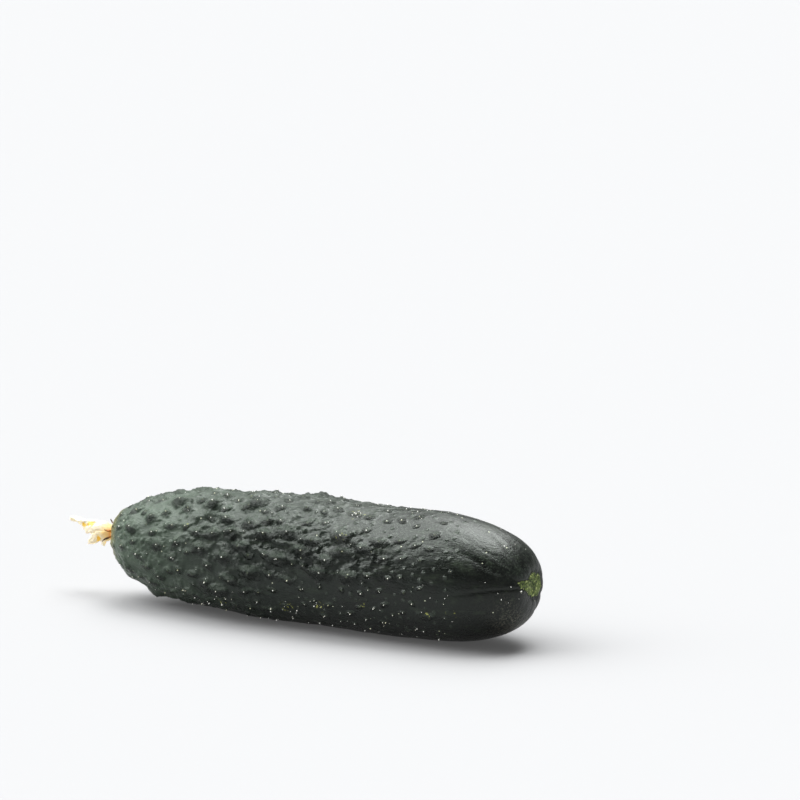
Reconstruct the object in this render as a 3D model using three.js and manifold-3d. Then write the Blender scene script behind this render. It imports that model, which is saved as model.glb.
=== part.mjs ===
// A short, dark, warty cucumber lying on its side, with its withered flower
// still on one end and an open scar where the stalk was cut from the other.
//
// Millimetres. +X runs along the fruit towards the stalk end and +Z is up.
// The origin is on the resting surface, under the middle of the whole piece.
// "Station" is the distance along the fruit from its blossom end, and "turn"
// is the angle round it, from +Y upwards through +Z.

import * as THREE from 'three';
import { mergeVertices } from 'three/addons/utils/BufferGeometryUtils.js';
import Module from 'manifold-3d';

const DEGREE = Math.PI / 180;

// ---- The fruit's body ------------------------------------------------------

const FRUIT_LENGTH = 176;
const FRUIT_RADIUS = 23;
const BLOSSOM_TAPER = 80; // length over which the blossom end narrows
const STALK_TAPER = 42; // length over which the blunter stalk end narrows
const BELLY_FLAT = 0.6; // depth of the worn flat that the fruit lies on
const AXIS_HEIGHT = FRUIT_RADIUS - BELLY_FLAT;
const BLOSSOM_RISE = 1.5; // the flower's seat lies this far above the middle
const BLOSSOM_RISE_LENGTH = 16;

const SIDES = 60; // facets round the fruit
const WARTY_PITCH = 2.0; // spacing of rings where the skin is warty
const SMOOTH_PITCH = 3.1; // and where it is smooth
const OUTLINE_STEPS = 6000;

// ---- Its relief ------------------------------------------------------------

const SEED_CHAMBERS = 3; // the fruit is very slightly three-sided
const CHAMBER_SWELL = 0.25;
const CHAMBER_PHASE = 0.5;
const SWAY = 0.22; // slow unevenness of the girth
const SWAY_LENGTH = 46;
const SWAY_TWIST = 1.7; // how much the unevenness differs round the fruit
const SWAY_PHASE = 0.6;

// Shallow furrows that run into the stalk scar. Each has its turn at the scar and
// a drift in degrees a millimetre, and fades out at its reach.
const STALK_FURROWS = [
  { turn: 158, drift: -0.85, depth: 0.34, width: 2.6, reach: 40 },
  { turn: 143, drift: -0.9, depth: 0.08, width: 1.3, reach: 34 },
  { turn: 128, drift: -1.6, depth: 0.34, width: 2.1, reach: 20 },
  { turn: 100, drift: -0.4, depth: 0.16, width: 2.8, reach: 18 },
  { turn: 171.5, drift: 0.5, depth: 0.2, width: 1.0, reach: 34 },
  { turn: 222, drift: 0.2, depth: 0.06, width: 1.8, reach: 26 },
  { turn: 262, drift: 0, depth: 0.08, width: 2.0, reach: 24 },
  { turn: 300, drift: 0, depth: 0.3, width: 2.4, reach: 34 },
  { turn: 335, drift: 0.2, depth: 0.34, width: 2.6, reach: 38 },
  { turn: 10, drift: -0.2, depth: 0.12, width: 2.2, reach: 30 },
  { turn: 44, drift: -0.2, depth: 0.1, width: 2.4, reach: 34 },
  { turn: 72, drift: 0.1, depth: 0.06, width: 2.0, reach: 26 },
];
// The softer furrows that spread from the flower.
const BLOSSOM_FURROWS = [
  { turn: 35, drift: 0.1, depth: 0.35, width: 2.4, reach: 44 },
  { turn: 95, drift: -0.1, depth: 0.25, width: 2.6, reach: 38 },
  { turn: 172, drift: 0.1, depth: 0.3, width: 2.6, reach: 40 },
  { turn: 208, drift: -0.1, depth: 0.5, width: 2.2, reach: 58 },
  { turn: 236, drift: 0.1, depth: 0.6, width: 2.4, reach: 62 },
  { turn: 300, drift: 0, depth: 0.4, width: 2.6, reach: 46 },
  { turn: 344, drift: 0.1, depth: 0.35, width: 2.2, reach: 40 },
];
const FURROW_TIP = 0.45; // width of a furrow at its end, as a share
const FURROW_FADE = 0.35; // share of its reach where it starts to fade
const FURROW_FREE_POLE = 2.5; // radius inside which no furrow is cut
const FURROW_FULL_RADIUS = 7; // and from which it has its full depth

const SCAR_DEPTH = 1.1;
const SCAR_RADIUS = 6.0;
const DIMPLE_DEPTH = 0.8; // under the withered flower
const DIMPLE_RADIUS = 3.2;

const WART_SEED = 20;
const WART_ATTEMPTS = 4200;
const WART_SPACING = 4.5; // least distance between two warts
const WART_SPACING_SPREAD = 2.4; // extra distance round a large one
const WART_HEIGHT = 0.38;
const WART_HEIGHT_SPREAD = 1.4;
const WART_WIDTH = 1.3;
const WART_WIDTH_SPREAD = 1.4;
const WART_LEAST_WIDTH = 0.45; // share of its width that a shrunken wart keeps
const WART_STRETCH = 1.2; // length along the fruit, as a share of the width
const WART_STRETCH_SPREAD = 1.1;
const WART_LEAN = 35 * DEGREE; // most that a long wart turns off the fruit's length
const WART_FREE_POLE = 7.5; // radius at the blossom end with no wart
const WARTS_END = 146; // station past which the skin is smooth
const WARTS_FADE = 66; // and the length over which they shrink before it
const WARTS_LEAST = 0.15; // share of their height that is left there
const WARTS_RISE = 24; // station at which they have grown to full height
const WARTS_RISE_LEAST = 0.45; // share of it close to the flower

// Where it lies on its belly the fruit has no warts. The belly is told by how
// far the skin faces down, and it starts where the end no longer stands free.
const BELLY_EDGE = 0.84;
const BELLY_FULL = 0.97;
const BELLY_START = 25;
const BELLY_LOW = 50;

// The side that is turned down has smaller warts too, towards the stalk end.
const CALM_START = 50;
const CALM_END = 105;
const CALM_ABOVE = 0.3; // how far above level this side starts
const CALM_TURNED_DOWN = 0.35;
const CALM_SHARE = 0.8; // of their height that those warts lose

// The largest warts have places of their own.
const LARGE_WARTS = [
  { station: 9, turn: 246, height: 1.2, length: 5.0, width: 4.0 },
  { station: 21, turn: 84, height: 1.1, length: 4.6, width: 2.8 },
  { station: 22, turn: 250, height: 1.7, length: 5.0, width: 3.2 },
  { station: 25, turn: 137, height: 1.3, length: 3.2, width: 2.2 },
  { station: 35, turn: 117, height: 1.8, length: 4.2, width: 2.3 },
  { station: 36, turn: 82, height: 1.0, length: 5.2, width: 2.8 },
  { station: 38, turn: 250, height: 0.9, length: 5.0, width: 3.0 },
  { station: 69, turn: 115, height: 1.5, length: 4.0, width: 2.4 },
  { station: 70, turn: 139, height: 1.4, length: 3.6, width: 2.2 },
  { station: 87, turn: 144, height: 1.8, length: 5.2, width: 2.7 },
  { station: 109, turn: 142, height: 1.8, length: 4.6, width: 2.6 },
  { station: 51, turn: 121, height: 1.4, length: 3.4, width: 2.2 },
  { station: 66, turn: 120, height: 1.3, length: 3.4, width: 2.4 },
  { station: 64, turn: 149, height: 1.3, length: 4.2, width: 2.2 },
  { station: 68, turn: 161, height: 1.1, length: 4.6, width: 2.4 },
  { station: 73, turn: 183, height: 1.4, length: 4.4, width: 2.8 },
  { station: 62, turn: 172, height: 1.0, length: 3.6, width: 2.4 },
  { station: 78, turn: 148, height: 1.3, length: 4.4, width: 2.2 },
  { station: 85, turn: 168, height: 1.3, length: 4.8, width: 2.6 },
  { station: 94, turn: 158, height: 1.5, length: 4.6, width: 2.4 },
  { station: 98, turn: 149, height: 1.3, length: 3.4, width: 2.0 },
  { station: 103, turn: 175, height: 1.5, length: 5.4, width: 2.8 },
  { station: 105, turn: 164, height: 1.3, length: 3.8, width: 2.4 },
  { station: 111, turn: 155, height: 1.4, length: 4.4, width: 2.4 },
  { station: 114, turn: 176, height: 1.1, length: 3.6, width: 2.4 },
  { station: 118, turn: 150, height: 1.4, length: 3.4, width: 2.0 },
  { station: 124, turn: 142, height: 1.1, length: 3.0, width: 1.8 },
  { station: 51, turn: 167, height: 0.9, length: 4.0, width: 2.4 },
  { station: 30, turn: 169, height: 0.8, length: 3.6, width: 2.4 },
];

// ---- The withered flower ---------------------------------------------------

const SEAT_GAP = 0.3; // between pieces that only touch
const WELD = 0.02; // edges shorter than this close up where pieces are fused
const CALYX_RADIUS = 3.3;
const CALYX_TOP_RADIUS = 2.5;
const CALYX_HEIGHT = 1.8;
const CALYX_FOOT_RADIUS = 3.0;
const CALYX_RIM_HEIGHT = 0.54;
const CALYX_SIDES = 24;
const SEPALS = [
  { turn: 246, length: 4.8, splay: 24, curl: 62 },
  { turn: 290, length: 3.4, splay: 22, curl: -10 },
  { turn: 2, length: 3.6, splay: 24, curl: 30 },
  { turn: 74, length: 7.4, splay: 30, curl: 26 },
  { turn: 146, length: 4.2, splay: 30, curl: 50 },
];
const SEPAL_SHAPE = {
  start: 2.7, rise: 1.0, halfWidth: 0.7, cup: 0, crumple: 0.12, twist: 25,
  thickness: 0.6, steps: 6, strips: 2,
};

const TUBE_RADIUS = 2.3;
const TUBE_FLARE = 0.5;
const TUBE_LENGTH = 1.9;
const TUBE_RINGS = 2; // facets along the tube
const PETAL_THICKNESS = 0.7;
const PETAL_CRUMPLE = 0.55;
const PETAL_CUP = 0.1;
// The lobes are evenly set round the tube.
const FIRST_PETAL_TURN = 22;
const PETALS = [
  { length: 19.6, halfWidth: 2.9, splay: 6, curl: -8, twist: 30 },
  { length: 9.0, halfWidth: 2.9, splay: 24, curl: -8, twist: -25 },
  { length: 5.4, halfWidth: 2.3, splay: 26, curl: 20, twist: 30 },
  { length: 7.4, halfWidth: 3.0, splay: 38, curl: 4, twist: -20 },
  { length: 11.0, halfWidth: 3.6, splay: 16, curl: 0, twist: 24 },
];
const PETAL_STEPS = 10; // facets along a petal
const PETAL_STRIPS = 6; // and across it

const STYLE_RADIUS = 0.55;
const STIGMA_LOBES = 3;
const LOBE_RADIUS = 0.74;
const LOBE_STRETCH = 1.7;
const LOBE_LEAN = 13 * DEGREE;
const LOBE_OFFSET = 0.8 * LOBE_RADIUS; // from the style's middle
const LOBE_DROP = 0.2; // below the style's top
const LOBE_STAGGER = 0.07; // each lobe stands this much higher than the last
const FIRST_LOBE_TURN = 23 * DEGREE;
const STIGMA_HEIGHT = 4.6; // top of the style above its foot

// ---- Skin relief -----------------------------------------------------------

function ramp(value, from, to) {
  const share = Math.min(Math.max((value - from) / (to - from), 0), 1);
  return share * share * (3 - 2 * share);
}

function bell(distance, reach) {
  return Math.exp(-((distance / reach) ** 2));
}

// A seeded draw of evenly spread numbers between 0 and 1.
function makeDraw(seed) {
  let state = seed;
  return () => {
    state = (state * 1664525 + 1013904223) % 4294967296;
    return state / 4294967296;
  };
}

function bodyRadius(station) {
  const fromBlossom = Math.min(station / BLOSSOM_TAPER, 1);
  const fromStalk = Math.min((FRUIT_LENGTH - station) / STALK_TAPER, 1);
  const blossomFill = 1 - (1 - fromBlossom) ** 2;
  const stalkFill = 1 - (1 - fromStalk) ** 2;
  return FRUIT_RADIUS * Math.cbrt(Math.max(blossomFill * stalkFill, 0));
}

// How far the fruit's middle line is lifted, close to the flower.
function axisRise(station) {
  return BLOSSOM_RISE * Math.max(1 - station / BLOSSOM_RISE_LENGTH, 0) ** 2;
}

// The point of the plain body at a station and turn, with its outward normal.
function bodyPoint(station, turn) {
  const step = 0.01;
  const before = Math.max(station - step, 0);
  const after = Math.min(station + step, FRUIT_LENGTH);
  const slope = (bodyRadius(after) - bodyRadius(before)) / (after - before);
  const scale = 1 / Math.hypot(slope, 1);
  const radius = bodyRadius(station);
  const across = new THREE.Vector3(0, Math.cos(turn), Math.sin(turn));
  const position = across.clone().multiplyScalar(radius).setX(station);
  const normal = across.clone().multiplyScalar(scale).setX(-slope * scale);
  return { station, turn, radius, position, normal };
}

function makeWart(station, turn, height, length, width, lean) {
  const { position, normal } = bodyPoint(station, turn);
  const round = new THREE.Vector3(0, -Math.sin(turn), Math.cos(turn));
  const along = round.clone().cross(normal).applyAxisAngle(normal, lean);
  const across = along.clone().cross(normal);
  return { centre: position, along, across, height, length, width };
}

// The share of its full height that a wart reaches at a place.
function wartShare(station, turn) {
  const fade = 1 - ramp(station, WARTS_END - WARTS_FADE, WARTS_END);
  const rise = ramp(station, 0, WARTS_RISE);
  const turnedDown = ramp(-Math.sin(turn), -CALM_ABOVE, CALM_TURNED_DOWN);
  const calm = ramp(station, CALM_START, CALM_END) * turnedDown;
  const towardsStalk = WARTS_LEAST + (1 - WARTS_LEAST) * fade;
  const towardsFlower = WARTS_RISE_LEAST + (1 - WARTS_RISE_LEAST) * rise;
  return towardsStalk * towardsFlower * (1 - CALM_SHARE * calm);
}

function growWarts() {
  const warts = LARGE_WARTS.map((wart) =>
    makeWart(wart.station, wart.turn * DEGREE, wart.height, wart.length, wart.width, 0));
  const draw = makeDraw(WART_SEED);
  for (let attempt = 0; attempt < WART_ATTEMPTS; attempt += 1) {
    const station = draw() * WARTS_END;
    const turn = draw() * 2 * Math.PI;
    const size = draw() ** 3;
    const stretch = draw();
    const lean = (2 * draw() - 1) * WART_LEAN;
    const centre = bodyPoint(station, turn).position;
    const apart = WART_SPACING + WART_SPACING_SPREAD * size;
    const tooNear = warts.some((wart) =>
      wart.centre.distanceTo(centre) < apart + 0.5 * wart.height);
    if (tooNear || bodyRadius(station) < WART_FREE_POLE) {
      continue;
    }
    const full = wartShare(station, turn);
    const fullWidth = WART_LEAST_WIDTH + (1 - WART_LEAST_WIDTH) * full;
    const height = (WART_HEIGHT + WART_HEIGHT_SPREAD * size) * full;
    const width = (WART_WIDTH + WART_WIDTH_SPREAD * size) * fullWidth;
    const length = width * (WART_STRETCH + WART_STRETCH_SPREAD * stretch);
    warts.push(makeWart(station, turn, height, length, width, lean));
  }
  return warts;
}

const warts = growWarts();

function wartRelief(point) {
  const underside = ramp(-Math.sin(point.turn), BELLY_EDGE, BELLY_FULL);
  const clear = 1 - underside * ramp(point.station, BELLY_START, BELLY_LOW);
  let relief = 0;
  for (const wart of warts) {
    const offset = point.position.clone().sub(wart.centre);
    if (offset.length() < 4 * wart.length) {
      const along = offset.dot(wart.along) / wart.length;
      const across = offset.dot(wart.across) / wart.width;
      const distance = Math.hypot(along, across);
      relief += wart.height * (0.7 * bell(distance, 1) + 0.3 * bell(distance, 0.5));
    }
  }
  return relief * clear;
}

function swell(point) {
  const chambers = CHAMBER_SWELL * Math.cos(SEED_CHAMBERS * point.turn + CHAMBER_PHASE);
  const phase = point.station / SWAY_LENGTH * 2 * Math.PI;
  const sway = SWAY * Math.sin(phase + SWAY_TWIST * Math.sin(point.turn + SWAY_PHASE));
  return (chambers + sway) * (point.radius / FRUIT_RADIUS) ** 2;
}

// Depth of a set of furrows at a point, given its distance from their end.
function furrowDepth(point, furrows, fromEnd) {
  let depth = 0;
  for (const furrow of furrows) {
    const turn = (furrow.turn + furrow.drift * fromEnd) * DEGREE;
    const apart = Math.atan2(Math.sin(point.turn - turn), Math.cos(point.turn - turn));
    const share = Math.min(fromEnd / furrow.reach, 1);
    const width = furrow.width * (FURROW_TIP + (1 - FURROW_TIP) * share);
    const fade = 1 - ramp(share, FURROW_FADE, 1);
    depth += furrow.depth * bell(apart * point.radius, width) * fade;
  }
  return depth * ramp(point.radius, FURROW_FREE_POLE, FURROW_FULL_RADIUS);
}

function furrowRelief(point) {
  const fromStalk = FRUIT_LENGTH - point.station;
  return -furrowDepth(point, STALK_FURROWS, fromStalk)
    - furrowDepth(point, BLOSSOM_FURROWS, point.station);
}

function hollowRelief(point) {
  if (point.station > FRUIT_LENGTH / 2) {
    return -SCAR_DEPTH * bell(point.radius, SCAR_RADIUS);
  }
  return -DIMPLE_DEPTH * bell(point.radius, DIMPLE_RADIUS);
}

function skinPoint(station, turn) {
  const point = bodyPoint(station, turn);
  const relief = swell(point) + furrowRelief(point) + wartRelief(point) + hollowRelief(point);
  const skin = point.position.addScaledVector(point.normal, relief);
  skin.z = Math.max(skin.z + axisRise(station) + AXIS_HEIGHT, 0);
  return skin;
}

// Stations of the rings, close together on warty skin and wider on smooth.
function ringStations() {
  const stations = [];
  let passed = 0;
  let lastStation = 0;
  let lastRadius = 0;
  for (let step = 1; step < OUTLINE_STEPS; step += 1) {
    const station = FRUIT_LENGTH / 2 * (1 - Math.cos(step / OUTLINE_STEPS * Math.PI));
    const radius = bodyRadius(station);
    const smooth = ramp(station, WARTS_END - 10, WARTS_END);
    const pitch = WARTY_PITCH + (SMOOTH_PITCH - WARTY_PITCH) * smooth;
    const before = Math.floor(passed);
    passed += Math.hypot(station - lastStation, radius - lastRadius) / pitch;
    if (Math.floor(passed) > before) {
      stations.push(station);
    }
    lastStation = station;
    lastRadius = radius;
  }
  return stations;
}

// ---- Closed meshes ---------------------------------------------------------

function meshFrom(points, triangles) {
  const geometry = new THREE.BufferGeometry();
  const flat = points.flatMap((point) => [point.x, point.y, point.z]);
  geometry.setAttribute('position', new THREE.Float32BufferAttribute(flat, 3));
  geometry.setIndex(triangles);
  return geometry;
}

// Rings of skin, each turned half a facet against the last, closed by two poles.
function fruitGeometry() {
  const points = [];
  const triangles = [];
  const stations = ringStations();
  stations.forEach((station, ring) => {
    for (let side = 0; side < SIDES; side += 1) {
      const turn = (side + 0.5 * (ring % 2)) / SIDES * 2 * Math.PI;
      points.push(skinPoint(station, turn));
    }
  });
  for (let ring = 0; ring < stations.length - 1; ring += 1) {
    const shift = ring % 2;
    for (let side = 0; side < SIDES; side += 1) {
      const next = (side + 1) % SIDES;
      const near = ring * SIDES;
      const far = near + SIDES;
      if (shift) {
        triangles.push(near + side, near + next, far + next);
        triangles.push(near + side, far + next, far + side);
      } else {
        triangles.push(near + side, near + next, far + side);
        triangles.push(near + next, far + next, far + side);
      }
    }
  }
  const blossomPole = points.push(skinPoint(0, 0)) - 1;
  const stalkPole = points.push(skinPoint(FRUIT_LENGTH, 0)) - 1;
  const lastRing = (stations.length - 1) * SIDES;
  for (let side = 0; side < SIDES; side += 1) {
    const next = (side + 1) % SIDES;
    triangles.push(blossomPole, next, side);
    triangles.push(stalkPole, lastRing + side, lastRing + next);
  }
  return meshFrom(points, triangles);
}

// A row of stations along one blade of the flower. The blade leaves the flower's
// axis, +Z here, at its turn from +X, leans away by its splay, and curls and
// twists as it goes.
function bladeRows(shape) {
  const upward = new THREE.Vector3(0, 0, 1);
  const outward = new THREE.Vector3(Math.cos(shape.turn * DEGREE), Math.sin(shape.turn * DEGREE), 0);
  const place = outward.clone().multiplyScalar(shape.start).setZ(shape.rise);
  const rows = [];
  for (let step = 0; step <= shape.steps; step += 1) {
    const share = step / shape.steps;
    const lean = (shape.splay + shape.curl * share) * DEGREE;
    const heading = upward.clone().multiplyScalar(Math.cos(lean));
    heading.addScaledVector(outward, Math.sin(lean));
    const side = upward.clone().cross(outward);
    side.applyAxisAngle(heading, shape.twist * share * DEGREE);
    const face = heading.clone().cross(side);
    const taper = (0.62 + 0.5 * Math.sin(2.7 * share)) * (1 - share ** 3);
    rows.push({ share, place: place.clone(), side, face, girth: shape.halfWidth * taper + 0.2 });
    place.addScaledVector(heading, shape.length / shape.steps);
  }
  return rows;
}

// A point of a blade's crumpled sheet, across it from -1 to 1, on its outer or
// inner face.
function bladePoint(shape, row, across, layer) {
  const offset = across * row.girth;
  const wave = Math.sin(9 * row.share + 2.2 * across + shape.turn);
  const crumple = shape.crumple * Math.sqrt(row.share) * wave;
  const cup = shape.cup * offset * offset;
  const lift = layer * shape.thickness / 2 + crumple + cup;
  return row.place.clone().addScaledVector(row.side, offset).addScaledVector(row.face, lift);
}

// Both faces of a sheet are split into triangles alike. Each cell is the four
// corners of a patch in order round it, seen from the first face.
function sheetFaces(cells, rim, layerSize) {
  const triangles = [];
  for (const [a, b, c, d] of cells) {
    triangles.push(a, b, c, a, c, d);
    triangles.push(a + layerSize, c + layerSize, b + layerSize);
    triangles.push(a + layerSize, d + layerSize, c + layerSize);
  }
  for (const [from, to] of rim) {
    triangles.push(to, from, from + layerSize);
    triangles.push(to, from + layerSize, to + layerSize);
  }
  return triangles;
}

function bladeGeometry(shape) {
  const { steps, strips } = shape;
  const rows = bladeRows(shape);
  const width = strips + 1;
  const points = [];
  for (const layer of [-1, 1]) {
    for (const row of rows) {
      for (let strip = 0; strip <= strips; strip += 1) {
        points.push(bladePoint(shape, row, 2 * strip / strips - 1, layer));
      }
    }
  }
  const cells = [];
  for (let step = 0; step < steps; step += 1) {
    for (let strip = 0; strip < strips; strip += 1) {
      const corner = step * width + strip;
      cells.push([corner, corner + 1, corner + width + 1, corner + width]);
    }
  }
  const rim = [];
  for (let strip = 0; strip < strips; strip += 1) {
    rim.push([strip, strip + 1]);
    rim.push([steps * width + strip + 1, steps * width + strip]);
  }
  for (let step = 0; step < steps; step += 1) {
    rim.push([step * width + strips, (step + 1) * width + strips]);
    rim.push([(step + 1) * width, step * width]);
  }
  return meshFrom(points, sheetFaces(cells, rim, steps * width + width));
}

// ---- Joining by solid geometry ---------------------------------------------

const wasm = await Module();
wasm.setup();

function solidFrom(geometry) {
  const bare = geometry.clone();
  bare.deleteAttribute('normal');
  bare.deleteAttribute('uv');
  const merged = mergeVertices(bare, 1e-4);
  const corners = merged.index.array;
  const sound = [];
  for (let index = 0; index < corners.length; index += 3) {
    const [a, b, c] = corners.slice(index, index + 3);
    if (a !== b && b !== c && c !== a) {
      sound.push(a, b, c);
    }
  }
  const vertProperties = Float32Array.from(merged.attributes.position.array);
  const triVerts = Uint32Array.from(sound);
  return new wasm.Manifold(new wasm.Mesh({ numProp: 3, vertProperties, triVerts }));
}

function fuse(geometries) {
  const joined = geometries.map(solidFrom).reduce((whole, piece) => whole.add(piece));
  const mesh = joined.simplify(WELD).getMesh();
  const geometry = new THREE.BufferGeometry();
  geometry.setAttribute('position', new THREE.BufferAttribute(mesh.vertProperties, 3));
  geometry.setIndex(new THREE.BufferAttribute(mesh.triVerts, 1));
  return geometry;
}

function latheAboutZ(outline, sides) {
  const profile = outline.map(([radius, height]) => new THREE.Vector2(radius, height));
  return new THREE.LatheGeometry(profile, sides).rotateX(Math.PI / 2);
}

// ---- The flower's pieces, standing on +Z -----------------------------------

function calyxGeometry() {
  const disc = latheAboutZ([
    [0, 0],
    [CALYX_FOOT_RADIUS, 0],
    [CALYX_RADIUS, CALYX_RIM_HEIGHT],
    [CALYX_TOP_RADIUS, CALYX_HEIGHT],
    [0, CALYX_HEIGHT],
  ], CALYX_SIDES);
  const sepals = SEPALS.map((sepal) => bladeGeometry({ ...SEPAL_SHAPE, ...sepal }));
  return fuse([disc, ...sepals]);
}

// One thin sheet: a short tube that parts into five withered lobes.
function corollaGeometry() {
  const foot = CALYX_HEIGHT + SEAT_GAP;
  const points = [[], []];
  const cells = [];
  const rim = [];
  const sides = PETALS.length * PETAL_STRIPS;
  const layers = [-1, 1];
  for (let ring = 0; ring <= TUBE_RINGS; ring += 1) {
    const share = ring / TUBE_RINGS;
    for (let side = 0; side < sides; side += 1) {
      const turn = (FIRST_PETAL_TURN + (side / PETAL_STRIPS - 0.5) * 360 / PETALS.length) * DEGREE;
      layers.forEach((layer, index) => {
        const radius = TUBE_RADIUS + TUBE_FLARE * share ** 2 - layer * PETAL_THICKNESS / 2;
        const point = new THREE.Vector3(Math.cos(turn), Math.sin(turn), 0).multiplyScalar(radius);
        points[index].push(point.setZ(foot + TUBE_LENGTH * share));
      });
      const next = (side + 1) % sides;
      if (ring === 0) {
        rim.push([side, next]);
      } else {
        const below = (ring - 1) * sides;
        cells.push([below + side, below + next, below + sides + next, below + sides + side]);
      }
    }
  }
  const mouth = TUBE_RINGS * sides;
  PETALS.forEach((petal, index) => {
    const turn = FIRST_PETAL_TURN + index * 360 / PETALS.length;
    const shape = {
      ...petal,
      turn,
      start: TUBE_RADIUS + TUBE_FLARE,
      rise: foot + TUBE_LENGTH,
      cup: PETAL_CUP,
      crumple: PETAL_CRUMPLE,
      thickness: PETAL_THICKNESS,
      steps: PETAL_STEPS,
    };
    let below = [];
    for (let strip = 0; strip <= PETAL_STRIPS; strip += 1) {
      below.push(mouth + (index * PETAL_STRIPS + strip) % sides);
    }
    for (const row of bladeRows(shape).slice(1)) {
      const above = [];
      for (let strip = 0; strip <= PETAL_STRIPS; strip += 1) {
        const across = 2 * strip / PETAL_STRIPS - 1;
        layers.forEach((layer, face) => {
          points[face].push(bladePoint(shape, row, across, layer));
        });
        above.push(points[0].length - 1);
      }
      for (let strip = 0; strip < PETAL_STRIPS; strip += 1) {
        cells.push([below[strip], below[strip + 1], above[strip + 1], above[strip]]);
      }
      rim.push([below[PETAL_STRIPS], above[PETAL_STRIPS]]);
      rim.push([above[0], below[0]]);
      below = above;
    }
    for (let strip = 0; strip < PETAL_STRIPS; strip += 1) {
      rim.push([below[strip + 1], below[strip]]);
    }
  });
  return meshFrom(points.flat(), sheetFaces(cells, rim, points[0].length));
}

function stigmaGeometry() {
  const foot = CALYX_HEIGHT + SEAT_GAP;
  const style = new THREE.CylinderGeometry(STYLE_RADIUS, STYLE_RADIUS, STIGMA_HEIGHT, 12);
  style.rotateX(Math.PI / 2);
  style.translate(0, 0, foot + STIGMA_HEIGHT / 2);
  const lobes = [];
  for (let index = 0; index < STIGMA_LOBES; index += 1) {
    const lobe = new THREE.SphereGeometry(LOBE_RADIUS, 10, 8);
    lobe.scale(1, 1, LOBE_STRETCH);
    lobe.rotateY(LOBE_LEAN);
    lobe.translate(LOBE_OFFSET, 0, foot + STIGMA_HEIGHT - LOBE_DROP + LOBE_STAGGER * index);
    lobe.rotateZ(index / STIGMA_LOBES * 2 * Math.PI + FIRST_LOBE_TURN);
    lobes.push(lobe);
  }
  return fuse([style, ...lobes]);
}

// ---- The whole piece -------------------------------------------------------

function namedMesh(name, geometry, color, roughness) {
  const material = new THREE.MeshStandardMaterial({ color, roughness, metalness: 0 });
  const mesh = new THREE.Mesh(geometry, material);
  mesh.name = name;
  return mesh;
}

// The flower's axis +Z is turned to -X, so its +X points up.
function buildFlower() {
  const flower = new THREE.Group();
  flower.add(namedMesh('calyx', calyxGeometry(), 0xb07a3c, 0.8));
  flower.add(namedMesh('withered_petals', corollaGeometry(), 0xf0e0b4, 0.7));
  flower.add(namedMesh('stigma', stigmaGeometry(), 0xe0a92e, 0.7));
  flower.rotation.y = -Math.PI / 2;
  flower.position.z = AXIS_HEIGHT + BLOSSOM_RISE;
  return flower;
}

const cucumber = new THREE.Group();
cucumber.add(namedMesh('fruit', fruitGeometry(), 0x2f3f31, 0.45));
cucumber.add(buildFlower());

cucumber.updateMatrixWorld(true);
const extent = new THREE.Box3().setFromObject(cucumber, true);
const middle = extent.getCenter(new THREE.Vector3());
cucumber.position.set(-middle.x, -middle.y, -extent.min.z);

export default cucumber;
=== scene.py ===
# %% [markdown]
# # A warty cucumber with its withered flower
#
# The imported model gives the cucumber's four solids at their real size: the
# fruit, the dried calyx, the withered petals and the stigma inside them. This
# lesson dresses them. Each solid is replaced by a finer piece of the same form,
# and the smallest things, the spines on the warts, are added. All of it rides
# on the one body that the model has, because nothing on a cucumber moves.

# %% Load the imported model
import math

import bpy
import numpy as np
from mathutils import Matrix, Vector, noise


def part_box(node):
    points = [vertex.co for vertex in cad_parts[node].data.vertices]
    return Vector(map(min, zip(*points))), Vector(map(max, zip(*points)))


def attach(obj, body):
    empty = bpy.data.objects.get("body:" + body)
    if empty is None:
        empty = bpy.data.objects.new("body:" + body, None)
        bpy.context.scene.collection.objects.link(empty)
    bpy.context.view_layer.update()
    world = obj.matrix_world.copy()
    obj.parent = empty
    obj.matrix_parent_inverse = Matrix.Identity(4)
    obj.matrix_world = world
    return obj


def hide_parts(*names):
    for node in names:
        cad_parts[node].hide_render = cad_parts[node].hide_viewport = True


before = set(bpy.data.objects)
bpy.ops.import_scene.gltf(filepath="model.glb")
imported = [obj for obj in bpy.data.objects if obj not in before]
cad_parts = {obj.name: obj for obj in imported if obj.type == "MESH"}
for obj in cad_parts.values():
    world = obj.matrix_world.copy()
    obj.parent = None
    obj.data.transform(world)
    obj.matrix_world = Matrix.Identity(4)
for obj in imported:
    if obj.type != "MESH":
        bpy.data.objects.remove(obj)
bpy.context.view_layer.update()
MM = 0.001

# %% [markdown]
# ## The camera
#
# The camera comes first, because every later choice is judged through it. It
# looks down a little at the fruit, from the stalk end's side, through a long
# lens that keeps both ends in proportion.

# %% Put up the camera
VIEW_DISTANCE = 1.0
VIEW_TURN = math.radians(31.0)
VIEW_RISE = math.radians(12.5)
LENS_MM = 123.4
AIM_ALONG = 0.0308  # the aim is this far towards the stalk end
AIM_HEIGHT = 0.0816
FILM_WIDTH_MM = 36.0
SEAT_TO_MIDDLE = 0.087  # from the flower's seat to the middle of the fruit
MIDDLE_HEIGHT = 0.0224  # of the line through the fruit's middle

flower_seat_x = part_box("calyx")[1][0]
middle = Vector((flower_seat_x + SEAT_TO_MIDDLE, 0.0, 0.0))
aim = middle + Vector((
    AIM_ALONG * math.cos(VIEW_TURN), AIM_ALONG * math.sin(VIEW_TURN), AIM_HEIGHT))
eye = middle + Vector((0.0, 0.0, MIDDLE_HEIGHT)) + VIEW_DISTANCE * Vector((
    math.cos(VIEW_RISE) * math.sin(VIEW_TURN),
    -math.cos(VIEW_RISE) * math.cos(VIEW_TURN),
    math.sin(VIEW_RISE)))

bpy.ops.object.camera_add(location=eye)
camera = bpy.context.object
camera.name = "view_camera"
camera.rotation_euler = (aim - eye).to_track_quat("-Z", "Y").to_euler()
camera.data.lens = LENS_MM
camera.data.sensor_width = FILM_WIDTH_MM
bpy.context.scene.camera = camera
print("camera at", [round(value, 3) for value in eye])

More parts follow.
